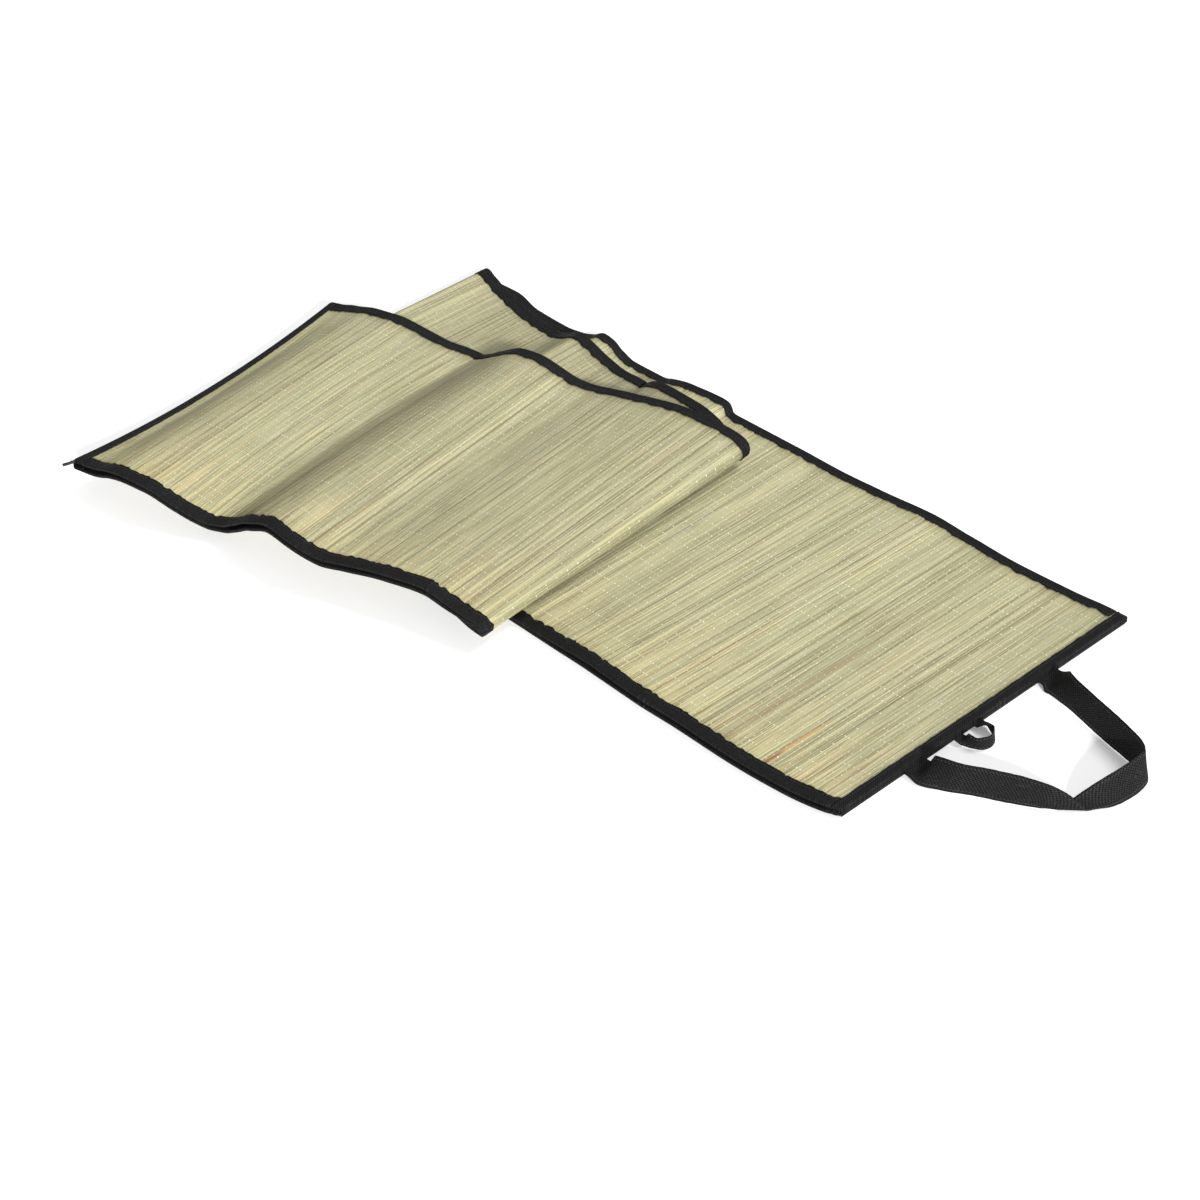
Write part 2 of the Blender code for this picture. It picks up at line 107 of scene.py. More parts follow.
# "near" is the free edge and "far" the spine. "crown" lifts the middle of the width, "up" the upper panel's free
# edge, and "down" lowers the lower panel's. "apart" parts the panels. After a "fold" row the strip turns back.
Row = namedtuple(
    "Row", "near_x near_y near_z far_x far_y far_z crown up down apart fold", defaults=(0, 0, 0, 0, False)
)
STRIP = [
    # bottom run: the right end with the handle
    Row(-4, 4, LYING, -2, 361, LYING, up=1.0, apart=1.1),
    Row(-16, -2, LYING, -16, 361, LYING, up=1.5, apart=1.1),
    Row(-52, -10, LYING, -53, 359, LYING, up=2.5),
    Row(-110, -15, LYING, -115, 357, LYING, up=3.0),
    Row(-160, -16, LYING, -168, 360, LYING, up=3.5),
    Row(-205, -18, LYING, -208, 361, 4.8, up=3.0),
    Row(-262, -18, LYING, -270, 357, 4.2, up=4.0),
    Row(-300, -19, LYING, -320, 356, LYING, up=2.0),
    Row(-345, -20, LYING, -372, 357, LYING),
    Row(-385, -21, LYING, -425, 357, LYING),
    # the step up on to a raised storage crease
    Row(-412, -21, LYING, -456, 357, LYING),
    Row(-418, -21, 3.6, -463, 357, 5.0),
    Row(-422, -21, 3.9, -465, 357, 8.8),
    Row(-426, -21, 4.2, -467, 357, 12.4),
    Row(-434, -21, 4.6, -476, 357, 14.0),
    Row(-474, -20, 4.4, -520, 356, 12.0),
    Row(-492, -20, 4.0, -540, 356, 8.0),
    Row(-508, -20, LYING, -558, 356, LYING),
    Row(-556, -19, LYING, -602, 355, 4.2),
    Row(-571, -19, 3.8, -619, 355, 9.5),
    Row(-584, -19, 5.4, -634, 356, 16.0),
    Row(-597, -19, 5.4, -646, 356, 18.0),
    Row(-613, -18, 4.4, -661, 356, 11.0),
    Row(-632, -18, LYING, -682, 356, 5.0),
    Row(-655, -18, LYING, -704, 355, LYING),
    Row(-710, -17, LYING, -752, 357, LYING),
    Row(-765, -15, LYING, -803, 368, LYING),
    # the back fold, then the middle run
    Row(-805, -14, 3.6, -842, 366, 3.8, fold=True),
    Row(-805, -15, 15.8, -842, 362, 18.0),
    Row(-786, -17, 15.0, -824, 356, 17.4),
    Row(-763, -20, 12.6, -801, 351, 13.4),
    Row(-702, -27, 12.3, -742, 337, 12.3),
    Row(-652, -33, 12.3, -690, 330, 13.4),
    Row(-633, -35, 13.2, -668, 328, 20.0),
    Row(-614, -37, 15.4, -649, 327, 28.0),
    Row(-596, -39, 14.2, -633, 326, 25.0),
    Row(-570, -42, 12.6, -606, 324, 18.5),
    Row(-542, -45, 12.3, -578, 321, 16.0),
    Row(-519, -46, 12.3, -556, 319, 18.0),
    Row(-509, -47, 12.3, -547, 318, 18.6),
    Row(-504, -48, 12.2, -543, 318, 17.2),
    Row(-499, -48, 12.4, -539, 317, 20.0),
    Row(-489, -48, 12.9, -531, 316, 25.5),
    Row(-474, -50, 13.6, -517, 315, 29.5),
    Row(-440, -53, 14.5, -487, 311, 33.0),
    Row(-408, -57, 14.2, -456, 308, 34.0),
    Row(-385, -59, 14.4, -433, 305, 31.5),
    Row(-362, -62, 14.6, -409, 301, 23.0),
    # the front fold, then the top run, which is turned towards the free edge
    Row(-343, -64, 16.5, -391, 297, 18.0, fold=True),
    Row(-343, -66, 24.5, -391, 297, 32.0),
    Row(-353, -69, 27.5, -406, 294, 36.5, down=0.8),
    Row(-376, -73, 32.0, -435, 288, 40.5, down=2.0),
    Row(-400, -78, 37.5, -464, 280, 43.0, down=2.5),
    Row(-438, -92, 38.5, -505, 265, 42.5, down=2.5),
    Row(-474, -105, 35.5, -546, 252, 39.5, crown=1, down=3.0),
    Row(-492, -114, 35.0, -565, 243, 44.0, down=3.0),
    Row(-507, -119, 37.0, -580, 238, 50.0, down=3.0),
    Row(-529, -125, 43.0, -604, 232, 57.0, down=3.0),
    Row(-553, -127, 46.0, -628, 230, 54.5, down=3.5),
    Row(-578, -132, 39.0, -655, 227, 42.0, crown=3, down=4.0),
    Row(-604, -133, 24.0, -678, 229, 28.5, crown=7, down=3.6),
    Row(-618, -135, 17.0, -693, 229, 22.5, crown=9, down=3.0),
    Row(-631, -140, 15.0, -710, 223, 25.5, crown=9, down=2.5),
    Row(-644, -147, 19.0, -725, 212, 31.0, crown=8, down=2.5),
    Row(-662, -154, 25.0, -745, 205, 36.5, crown=5, down=2.5),
    Row(-693, -166, 37.0, -780, 190, 47.0, crown=2, down=2.5),
    Row(-718, -173, 39.0, -808, 183, 46.0, crown=0, up=0.5, down=2.5),
    Row(-735, -177, 37.0, -827, 178, 42.5, crown=-2, up=1.0, down=2.5),
    Row(-747, -179, 33.2, -837, 176, 40.8, crown=-5, up=1.5, down=2.5, apart=0.2),
    Row(-759, -181, 30.5, -847, 173, 38.5, crown=-9, up=1.5, down=2.2, apart=0.5),
    Row(-783, -185, 28.0, -866, 169, 35.5, crown=-11, up=1.5, down=1.8, apart=0.7),
]
print(len(STRIP), "rows in the table of folds")

# %% [markdown]
# ## A smooth line through the rows
#
# A plain spline swings past its points, which would push one layer through the next. This curve is level wherever a
# value turns round, so it never goes past a row. That is why the creases stay where the table puts them.

# %% Curves
def unit(v):
    return v / np.linalg.norm(v, axis=-1, keepdims=True)


def slopes(points, knots):
    gap = np.diff(knots)[:, None]
    rise = np.diff(points, axis=0) / gap
    one, two = 2 * gap[1:] + gap[:-1], gap[1:] + 2 * gap[:-1]
    safe = np.where(rise == 0, 1.0, rise)
    mean = (one + two) / (one / safe[:-1] + two / safe[1:])
    inside = np.where(rise[:-1] * rise[1:] > 0, mean, 0.0)
    return np.concatenate([rise[:1], inside, rise[-1:]])


def curve_through(points, at, knots):
    slope = slopes(points, knots)
    i = np.clip(np.searchsorted(knots, at, side="right") - 1, 0, len(knots) - 2)
    span = (knots[i + 1] - knots[i])[:, None]
    t = (at - knots[i])[:, None] / span
    ends = points[i] * (1 + 2 * t) * (1 - t) ** 2 + points[i + 1] * t**2 * (3 - 2 * t)
    return ends + span * (slope[i] * t * (1 - t) ** 2 - slope[i + 1] * t**2 * (1 - t))


# %% Folds
def half_turn(start, end, way):
    """Points between start and end on a half circle that bulges the way given."""
    centre, radius = (start + end) / 2, np.linalg.norm(end - start) / 2
    turn = pi * np.arange(1, FOLD_STEPS) / FOLD_STEPS
    return centre + np.cos(turn)[:, None] * (start - centre) + np.sin(turn)[:, None] * way * radius


def strip_rows():
    rows, heading = [], np.zeros(3)
    for r, after in zip(STRIP, STRIP[1:] + [None]):
        rest = (PANEL_APART + r.apart) / 2 + TAPE_HALF
        ends = np.array([rest if value is LYING else value for value in r[0:6]], float)
        extra = np.array([r.crown, r.up, r.down, r.apart], float)
        rows.append(np.concatenate([ends, extra]))
        if r.fold:
            turns = [half_turn(ends[i : i + 3], np.array(after[i : i + 3], float), unit(heading)) for i in (0, 3)]
            rows += [np.concatenate([near, far, extra]) for near, far in zip(*turns)]
        elif after:
            heading = np.array([after.near_x - r.near_x, after.near_y - r.near_y, 0.0])
    return np.array(rows)


def near_to_far(rows):
    return rows[:, 3:6] - rows[:, 0:3]


ROWS = strip_rows()
near_step = np.linalg.norm(np.diff(ROWS[:, 0:3], axis=0), axis=1)
far_step = np.linalg.norm(np.diff(ROWS[:, 3:6], axis=0), axis=1)
KNOTS = np.concatenate([[0], np.cumsum((near_step + far_step) / 2)])
LENGTH = KNOTS[-1]
WIDTH = float(np.linalg.norm(near_to_far(ROWS), axis=1).mean())
print(f"the doubled strip measures {WIDTH:.0f} by {LENGTH:.0f} mm laid flat")

# %% [markdown]
# ## From the flat mat to the folded one
#
# Each piece is cut flat and then laid in the folds. A place on the flat mat is two numbers: how far along the strip
# it is in millimetres, and its share of the width, from 0 on the free edge to 1 on the spine. These functions say
# where that place ends up in space, and which way the mat's face looks there.

# %% Surfaces
def middle(along, across):
    """Halfway between the two panels."""
    row = curve_through(ROWS, along, KNOTS)
    points = row[:, 0:3] + near_to_far(row) * across[:, None]
    points[:, 2] += row[:, 6] * 4 * across * (1 - across)
    return points


def facing(surface, along, across):
    """Which way the upper face looks."""
    nudge, ends = 0.4, np.clip(across, 0.002, 0.998)
    down_strip = surface(np.minimum(along + nudge, LENGTH), ends) - surface(np.maximum(along - nudge, 0), ends)
    over_strip = surface(along, ends + 0.002) - surface(along, ends - 0.002)
    return unit(np.cross(over_strip, down_strip))


def panel(side):
    """The middle surface of one panel: side is +1 for the upper and -1 for the lower."""

    def surface(along, across):
        row = curve_through(ROWS, along, KNOTS)
        loose = row[:, 7 if side > 0 else 8] * (1 - across) ** 3
        offset = side * ((PANEL_APART + row[:, 9]) / 2 + loose)
        return middle(along, across) + facing(middle, along, across) * offset[:, None]

    return surface


UPPER, LOWER = panel(1), panel(-1)


def lay(surface, along, across, lift):
    """Places on the flat mat, each raised off the surface by its own lift, in metres in the model."""
    points = surface(along, across) + facing(surface, along, across) * lift[:, None]
    points[:, 2] = np.maximum(points[:, 2], 0.0)
    return (points + SHIFT) * MM


def width_at(along):
    return np.linalg.norm(near_to_far(curve_through(ROWS, along, KNOTS)), axis=1)


# %% [markdown]
# ## Cutting a flat piece
#
# A grid of squares is the simplest cloth there is. The grid operator makes one with as many columns as asked for, and
# solidify gives it a second face and closed edges while it is still flat, when nothing can go wrong. Each corner then
# still knows its column, its row and its face from its flat place, so moving it on to the fold is one sum for all of
# them at once.

# %% The cutter
Cut = namedtuple("Cut", "mesh column row under")


def mesh_from(work, name):
    """A new mesh from the work, which is then put away."""
    mesh = bpy.data.meshes.new(name)
    work.to_mesh(mesh)
    work.free()
    return mesh


def read(items, what, each=1, kind=int):
    """One value, or a few, for every vertex, corner, edge or face of a mesh."""
    values = np.empty(len(items) * each, kind)
    items.foreach_get(what, values)
    return values.reshape(-1, each) if each > 1 else values


def cut_flat(name, columns, rows):
    """A closed flat sheet with this many squares each way, and which column, row and face each corner is on."""
    work = bmesh.new()
    bmesh.ops.create_grid(work, x_segments=columns, y_segments=rows, size=0.5)
    bmesh.ops.solidify(work, geom=work.faces[:], thickness=0.25)
    mesh = mesh_from(work, name)
    flat = read(mesh.vertices, "co", 3, float)
    middle_z = (flat[:, 2].min() + flat[:, 2].max()) / 2
    column = np.rint((flat[:, 0] + 0.5) * columns).astype(int)
    row = np.rint((flat[:, 1] + 0.5) * rows).astype(int)
    return Cut(mesh, column, row, flat[:, 2] < middle_z)


def turn_outwards(mesh):
    """Turns the faces outwards, which laying a piece in its folds can undo."""
    work = bmesh.new()
    work.from_mesh(mesh)
    bmesh.ops.recalc_face_normals(work, faces=work.faces[:])
    work.to_mesh(mesh)
    work.free()


def smooth_faces(mesh):
    mesh.polygons.foreach_set("use_smooth", np.ones(len(mesh.polygons), bool))


def put_in_place(cut, places, along, across):
    """Moves a cut piece into its folds. A UV map keeps each corner's place on the flat piece, in metres."""
    mesh = cut.mesh
    smooth_faces(mesh)
    mesh.vertices.foreach_set("co", np.ascontiguousarray(places, float).ravel())
    mesh.update()
    turn_outwards(mesh)
    corner = read(mesh.loops, "vertex_index")
    flat = np.stack([along[corner], across[corner]], 1).astype(np.float32).ravel() * MM
    mesh.uv_layers.new(name="flat").data.foreach_set("uv", flat)
    return add_object(mesh.name, mesh)


# %% [markdown]
# ## The straws
#
# Each panel is some fifteen hundred dry stalks laid side by side across the width. No two are the same thickness, and
# the weaver turns every second one end for end, because a stalk tapers. A flat sheet with a striped picture on it
# would look printed, so each stalk gets a real ridge with a sharp valley on both sides. One column of the grid is
# half a stalk, so odd columns are ridges and even columns are the valleys between neighbours.

# %% Sizes of the straws
STRAW_WIDE = 1.2
STRAW_SEGMENTS = 14  # pieces along each straw
RIDGE, VALLEY = 0.80, 0.36  # heights off the middle of the panel
TAPER = 0.30
UNEVEN_WIDE, UNEVEN_TAPER = (0.55, 1.5), (0.4, 1.0)  # the least and the most, as shares of the usual
DEEP_SHARE, DEEPER = 0.16, -0.26  # how many of the valleys are deep ones, and how much deeper they are
VALLEY_SPREAD, RIDGE_SPREAD = (0.05, 0.06), (0.045, 0.03)  # from stalk to stalk, and along each stalk
LOWEST, HIGHEST = 0.08, 0.95

STRAWS = int(LENGTH / STRAW_WIDE)
chance = np.random.default_rng(31)


def straw_edges(count, sections, length):
    """Where each valley between straws lies, at each section across the width: an uneven set of tapered stalks."""
    wide = chance.uniform(*UNEVEN_WIDE, count)
    taper = TAPER * chance.uniform(*UNEVEN_TAPER, count) * np.where(np.arange(count) % 2, 1, -1)
    share = np.linspace(-0.5, 0.5, sections + 1)
    each = wide[:, None] * (1 + taper[:, None] * share[None, :])
    edges = np.concatenate([np.zeros((1, sections + 1)), np.cumsum(each, axis=0)])
    return edges / edges[-1] * length


print(STRAWS, "straws on each panel, about", STRAW_WIDE, "mm wide")

# %% A woven panel
Panel = namedtuple("Panel", "piece cut")


def weave_panel(name, surface, back):
    inset = TAPE_THICK + SEAM_GAP
    cut = cut_flat(name, 2 * STRAWS, STRAW_SEGMENTS)
    valleys = straw_edges(STRAWS, STRAW_SEGMENTS, LENGTH - 2 * inset - sum(back)) + inset + back.right
    marks = np.empty((2 * STRAWS + 1, STRAW_SEGMENTS + 1))
    marks[0::2] = valleys
    marks[1::2] = (valleys[1:] + valleys[:-1]) / 2
    heights = np.empty_like(marks)
    deep = np.where(chance.random((STRAWS + 1, 1)) < DEEP_SHARE, DEEPER, 0.0)
    heights[0::2] = VALLEY + chance.normal(0, VALLEY_SPREAD[0], (STRAWS + 1, 1)) + deep
    heights[0::2] += chance.normal(0, VALLEY_SPREAD[1], (STRAWS + 1, STRAW_SEGMENTS + 1))
    heights[1::2] = RIDGE + chance.normal(0, RIDGE_SPREAD[0], (STRAWS, 1))
    heights[1::2] += chance.normal(0, RIDGE_SPREAD[1], (STRAWS, STRAW_SEGMENTS + 1))
    heights = np.clip(heights, LOWEST, HIGHEST)
    along = marks[cut.column, cut.row]
    rim = inset / width_at(along)
    across = rim + (1 - 2 * rim) * cut.row / STRAW_SEGMENTS
    lift = heights[cut.column, cut.row] * np.where(cut.under, -1, 1)
    return Panel(put_in_place(cut, lay(surface, along, across, lift), along, across * WIDTH), cut)


upper = weave_panel("woven_straw_upper", UPPER, LEVEL)
lower = weave_panel("woven_straw_lower", LOWER, LOWER_BACK)
for each in (upper, lower):
    print(each.piece.name, "has", len(each.cut.mesh.polygons), "faces")

# %% [markdown]
# ## Every straw its own colour
#
# Dried rush goes from grey green to straw yellow, and now and then one stalk is brown or rust red. The colour belongs
# to the stalk, not to a place in space, so it is stored on the mesh: four numbers a stalk, for how pale and how warm
# it is, whether it is one of the odd ones, and which rows of thread pass over it. The valleys are marked as sharp
# edges at the same time, so the light breaks between two stalks and rolls smoothly over each one.

# %% Colour and sharp valleys
OddStalk = namedtuple("OddStalk", "along stalks odd")  # from 0, plain, through 0.5, brown, to 1, rust red
ODD_STALKS = [
    OddStalk(76, 2, 1.0),
    OddStalk(118, 2, 0.6),
    OddStalk(176, 1, 0.45),
]
ODD_SHARE, ODD_RANGE = 0.006, (0.30, 0.6)
EVEN_TONE, LIGHT_TONE, DARK_TONE = (0.5, 0.09), (0.75, 1.15), (-0.15, 0.2)
WARMTH = (0.35, 0.25)


def colour_straws(made):
    mesh = made.cut.mesh
    columns = made.cut.column[read(mesh.loops, "vertex_index")]
    lowest = np.minimum.reduceat(columns, read(mesh.polygons, "loop_start"))
    straw = np.minimum(np.repeat(lowest, read(mesh.polygons, "loop_total")) // 2, STRAWS - 1)
    # most stalks are much alike, and every few stalks one is clearly lighter or darker
    pale = chance.normal(*EVEN_TONE, STRAWS)
    apart = np.cumsum(chance.integers(2, 6, STRAWS))
    apart = apart[apart < STRAWS]
    light = chance.random(len(apart)) < 0.5
    pale[apart] = np.where(light, chance.uniform(*LIGHT_TONE, len(apart)), chance.uniform(*DARK_TONE, len(apart)))
    warm = np.clip(chance.normal(*WARMTH, STRAWS), 0, 1)
    odd = np.where(chance.random(STRAWS) < ODD_SHARE, chance.uniform(*ODD_RANGE, STRAWS), 0.0)
    if made is upper:
        for each in ODD_STALKS:
            at = int(each.along / LENGTH * STRAWS)
            odd[at : at + each.stalks] = each.odd
    turn = np.arange(STRAWS) % 3 / 2
    colours = np.stack([pale[straw], warm[straw], odd[straw], turn[straw]], 1)
    layer = mesh.color_attributes.new(name="stalk", type="FLOAT_COLOR", domain="CORNER")
    layer.data.foreach_set("color", colours.astype(np.float32).ravel())


def sharpen_valleys(made):
    mesh, column = made.cut.mesh, made.cut.column
    ends = column[read(mesh.edges, "vertices", 2)]
    valley = (ends[:, 0] == ends[:, 1]) & (ends[:, 0] % 2 == 0)
    sharp = mesh.attributes.get("sharp_edge") or mesh.attributes.new("sharp_edge", "BOOLEAN", "EDGE")
    sharp.data.foreach_set("value", valley)


for each in (upper, lower):
    colour_straws(each)
    sharpen_valleys(each)
print("each stalk has its own colour")

# %% [markdown]
# ## The straw finish
#
# The finish has four layers. First comes the colour of the stalk, read from the mesh. Long thin streaks, stretched
# along the stalk, break it up as dry skin does. Rows of pale warp thread cross the stalks every seven millimetres and
# show on one stalk in three, because the thread goes over one and under the next few. Last, the mat is yellower and
# more streaky towards the free edge, where the thick ends of the stalks lie. Everything follows the flat map, so the
# pattern runs round the folds with the cloth.

# %% Node helpers
class Nodes:
    """Short ways to add the nodes of one tree and to link them."""

    def __init__(self, tree):
        self.tree = tree

    def fill(self, node, inputs):
        """Gives each input a fixed value or a link from another node."""
        for place, value in dict(inputs).items():
            if isinstance(value, bpy.types.NodeSocket):
                self.tree.links.new(value, node.inputs[place])
            else:
                node.inputs[place].default_value = value

    def add(self, kind, inputs=(), **settings):
        made = self.tree.nodes.new("ShaderNode" + kind)
        for key, value in settings.items():
            setattr(made, key, value)
        self.fill(made, inputs)
        return made

    def calc(self, operation, a, b=0.0, c=0.0, clamp=False):
        return self.add("Math", {0: a, 1: b, 2: c}, operation=operation, use_clamp=clamp).outputs[0]

    def times(self, a, b):
        return self.calc("MULTIPLY", a, b)

    def scaled(self, a, by, plus, clamp=False):
        return self.calc("MULTIPLY_ADD", a, by, plus, clamp)

    def remap(self, value, low, high, to_low=0.0, to_high=1.0):
        names = {"Value": value, "From Min": low, "From Max": high, "To Min": to_low, "To Max": to_high}
        return self.add("MapRange", names, interpolation_type="SMOOTHSTEP").outputs["Result"]

    def blend(self, amount, one, two):
        return self.add("Mix", {0: amount, 6: one, 7: two}, data_type="RGBA").outputs[2]

    def tint(self, amount, base, colour):
        """Lays a plain colour over the base."""
        return self.blend(amount, base, (*colour, 1))

    def steps(self, value, stops):
        """A colour ramp with the given stops, each a place and a colour."""
        ramp = self.add("ValToRGB", {"Fac": value})
        marks = ramp.color_ramp.elements
        while len(marks) < len(stops):
            marks.new(0.5)
        for mark, (place, colour) in zip(marks, stops):
            mark.position = place
            mark.color = (*colour, 1)
        return ramp.outputs["Color"]

    def noise(self, flat, along, across, detail=2.0, rough=0.5, shift=0.0):
        """Noise on the flat map with its own fineness each way, in features a metre."""
        place = {"Vector": flat, "Location": (shift, shift * 0.7, 0), "Scale": (along, across, 1)}
        grain = {"Vector": self.add("Mapping", place).outputs[0], "Scale": 1.0, "Detail": detail, "Roughness": rough}
        return self.add("TexNoise", grain, noise_dimensions="2D").outputs["Fac"]

    def bump(self, height, strength, deep):
        return self.add("Bump", {"Height": height, "Strength": strength, "Distance": deep * MM}).outputs["Normal"]

    def shade(self, inputs):
        self.fill(self.tree.nodes["Principled BSDF"], inputs)


def new_finish(name):
    made = bpy.data.materials.new(name)
    made.use_nodes = True
    return made, Nodes(made.node_tree)


# %% Straw colours
DARK_STRAW, OLIVE_STRAW, PLAIN_STRAW = (0.21, 0.182, 0.091), (0.315, 0.294, 0.154), (0.392, 0.371, 0.217)
PALE_STRAW, YELLOW_STRAW = (0.483, 0.455, 0.28), (0.546, 0.49, 0.252)
WARM_STRAW, GREEN_STRAW, GREY_STRAW = (0.462, 0.343, 0.189), (0.294, 0.315, 0.168), (0.35, 0.35, 0.266)
BROWN_STRAW, RUST_STRAW, ORANGE_STRAW = (0.25, 0.15, 0.085), (0.27, 0.05, 0.012), (0.54, 0.29, 0.08)
TAN_STRAW, THREAD = (0.50, 0.33, 0.15), (0.70, 0.69, 0.59)
THREAD_ROWS = 7.0 * MM


def straw_finish(name, shift, first, last):
    finish, nodes = new_finish(name)
    flat = nodes.add("UVMap", uv_map="flat").outputs["UV"]
    stalk = nodes.add("Attribute", attribute_name="stalk")
    pale, warm, odd = nodes.add("SeparateColor", {0: stalk.outputs["Color"]}).outputs[:3]
    place = nodes.add("SeparateXYZ", {0: flat})
    across = place.outputs["Y"]

    # how near the free edge: 1 there, falling to 0 before the middle of the width
    near_free = nodes.remap(across, 0.0, 0.16, 1.0, 0.0)

    # tone of the stalk, broken up by streaks along it
    streak = nodes.noise(flat, 1300, 12, 1.0, 0.6, shift)
    fine = nodes.noise(flat, 2300, 18, 1.0, 0.5, shift + 7)
    wide_patch = nodes.noise(flat, 26, 7, 2.0, 0.5, shift + 3)
    lean = nodes.scaled(nodes.remap(streak, 0.25, 0.75), 0.28, 0.03)
    tone = nodes.scaled(pale, 0.70, lean)
    tone = nodes.scaled(nodes.remap(fine, 0.3, 0.7, -0.5, 0.5), 0.36, tone)
    base = nodes.steps(
        tone,
        [(0.06, DARK_STRAW), (0.28, OLIVE_STRAW), (0.52, PLAIN_STRAW), (0.76, PALE_STRAW), (0.97, YELLOW_STRAW)],
    )

    # drifts of greener, greyer and warmer stalks
    green = nodes.times(nodes.remap(wide_patch, 0.40, 0.66), 0.25)
    base = nodes.tint(green, base, GREEN_STRAW)
    grey_streak = nodes.noise(flat, 800, 9, 1.0, 0.5, shift + 11)
    base = nodes.tint(nodes.remap(grey_streak, 0.52, 0.74, 0.0, 0.40), base, GREY_STRAW)
    warm_streak = nodes.noise(flat, 420, 8, 2.0, 0.5, shift + 19)
    warming = nodes.times(nodes.remap(warm_streak, 0.50, 0.72), nodes.remap(warm, 0.3, 0.9))
    base = nodes.tint(nodes.times(warming, 0.75), base, WARM_STRAW)
    tan = nodes.times(near_free, nodes.remap(warm, 0.45, 0.85, 0.0, 0.55))
    base = nodes.tint(tan, base, TAN_STRAW)
    yellow = nodes.times(near_free, nodes.remap(tone, 0.45, 0.8, 0.0, 0.65))
    base = nodes.tint(yellow, base, YELLOW_STRAW)

    # painted shade: thin dark lines where a stalk is split or a neighbour leaves a gap, stronger near the free edge
    split = nodes.noise(flat, 1500, 20, 1.0, 0.5, shift + 29)
    gap_amount = nodes.scaled(near_free, 0.50, 0.45)
    gap = nodes.times(nodes.remap(split, 0.63, 0.71), gap_amount)
    base = nodes.tint(gap, base, DARK_STRAW)

    # the odd brown or rust stalk, its colour fading along it
    rusty = nodes.steps(odd, [(0.55, BROWN_STRAW), (0.85, RUST_STRAW)])
    rusty = nodes.tint(nodes.remap(across, 0.024, 0.038), rusty, ORANGE_STRAW)
    rusty = nodes.blend(nodes.remap(odd, 0.65, 0.80), (*BROWN_STRAW, 1), rusty)
    fade = nodes.remap(nodes.noise(flat, 60, 11, 1.0, 0.5, shift + 37), 0.30, 0.52)
    fade = nodes.calc("MAXIMUM", fade, nodes.remap(odd, 0.8, 0.95))
    ends = nodes.remap(across, 0.055, nodes.remap(odd, 0.6, 1.0, 0.30, 0.10), 1.0, 0.0)
    odd_amount = nodes.times(fade, nodes.remap(odd, 0.0, 0.6, 0.0, 0.80))
    base = nodes.blend(nodes.times(odd_amount, ends), base, rusty)

    # warp threads, over one stalk in three, alternate rows out of step
    row = nodes.calc("DIVIDE", across, THREAD_ROWS)
    swing = nodes.calc("ABSOLUTE", nodes.calc("SUBTRACT", nodes.calc("FRACT", row), 0.5))
    in_row = nodes.remap(swing, 0.06, 0.11, 1.0, 0.0)
    odd_row = nodes.calc("MODULO", nodes.calc("FLOOR", row), 2.0)
    away = nodes.calc("ABSOLUTE", nodes.calc("SUBTRACT", stalk.outputs["Alpha"], odd_row))
    over = nodes.scaled(away, -2.0, 1.0, clamp=True)
    thread = nodes.times(in_row, over)
    thread = nodes.times(thread, nodes.scaled(odd_row, 0.45, 0.55))
    worn = nodes.noise(flat, 600, 140, 1.0, 0.5, shift + 41)
    thread = nodes.times(thread, nodes.remap(worn, 0.40, 0.62, 0.12, 1.0))
    colour = nodes.tint(thread, base, THREAD)
    # painted shade: round the back fold, 0.80 to 0.95 m along, the straw turns darker, so the middle and top runs,
    # whose raised and sloping faces catch more light, are painted darker than the bottom run
    shade = nodes.remap(place.outputs["X"], 0.80, 0.95, first, last)
    colour = nodes.add("HueSaturation", {"Color": colour, "Value": shade}).outputs[0]

    # dry skin: rougher where dark, with fine ribs along the stalk and a bump for each thread
    rough = nodes.remap(tone, 0.2, 0.9, 0.62, 0.44)
    relief = nodes.bump(nodes.scaled(fine, 0.35, thread), 0.55, 0.3)
    nodes.shade({"Base Color": colour, "Roughness": rough, "Normal": relief, "Specular IOR Level": 0.35})
    return finish


# the last two numbers are the painted shade on the bottom run and on the middle and top runs; the lower panel is
# painted darker than the upper
upper.piece.data.materials.append(straw_finish("straw_finish", 0.0, 1.02, 0.82))
lower.piece.data.materials.append(straw_finish("straw_finish_under", 5.0, 0.95, 0.77))
print("straw finishes made")

# %% [markdown]
# ## The bindings
#
# The edges are bound with a soft black non-woven tape, folded in half over the edge and sewn through. Its cut edge
# wanders, because it was guided by hand, and the tape puckers where the thread pulls it down. Each tape is cut flat
# like the panels. Its rows then wrap round the edge: down one side, round a soft nose, and back along the other side.

# %% The section of a folded tape
FLANGE_ROWS, NOSE_ROWS = 6, 6
NOSE_DEEP, NOSE_PROUD = 0.9, 0.6  # how deep the nose is, and how far the soft tape stands proud of the edge
STITCH_IN = 2.4  # from the tape's cut edge to the line of stitches
TAPE_ROWS = 2 * FLANGE_ROWS + NOSE_ROWS
PUCKER, PRESSED, LIFTED = 0.42, 0.16, 0.10  # heights of the puckers, of the pressed line and of the lifted cut edge
MAP_START = 40  # keeps the flat maps of tapes and straps above nought


def tape_section(row, wide, half, inner):
    """How far in from the edge and how high off the middle each corner of the tape is, and how far down its flange."""
    wall = np.where(inner, TAPE_THICK, 0.0)
    top = row <= FLANGE_ROWS
    bottom = row >= FLANGE_ROWS + NOSE_ROWS
    down = np.where(top, 1 - row / FLANGE_ROWS, np.where(bottom, (row - FLANGE_ROWS - NOSE_ROWS) / FLANGE_ROWS, 0.0))
    turn = pi / 2 - pi * np.clip((row - FLANGE_ROWS) / NOSE_ROWS, 0, 1)
    bulge = np.abs(np.cos(turn)) ** 0.8
    inward = NOSE_DEEP - (NOSE_DEEP + NOSE_PROUD - wall) * bulge + down * (wide - NOSE_DEEP)
    height = (half - wall) * np.sign(np.sin(turn)) * np.abs(np.sin(turn)) ** 0.6
    return inward, height, down, np.where(bottom, -1, 1)


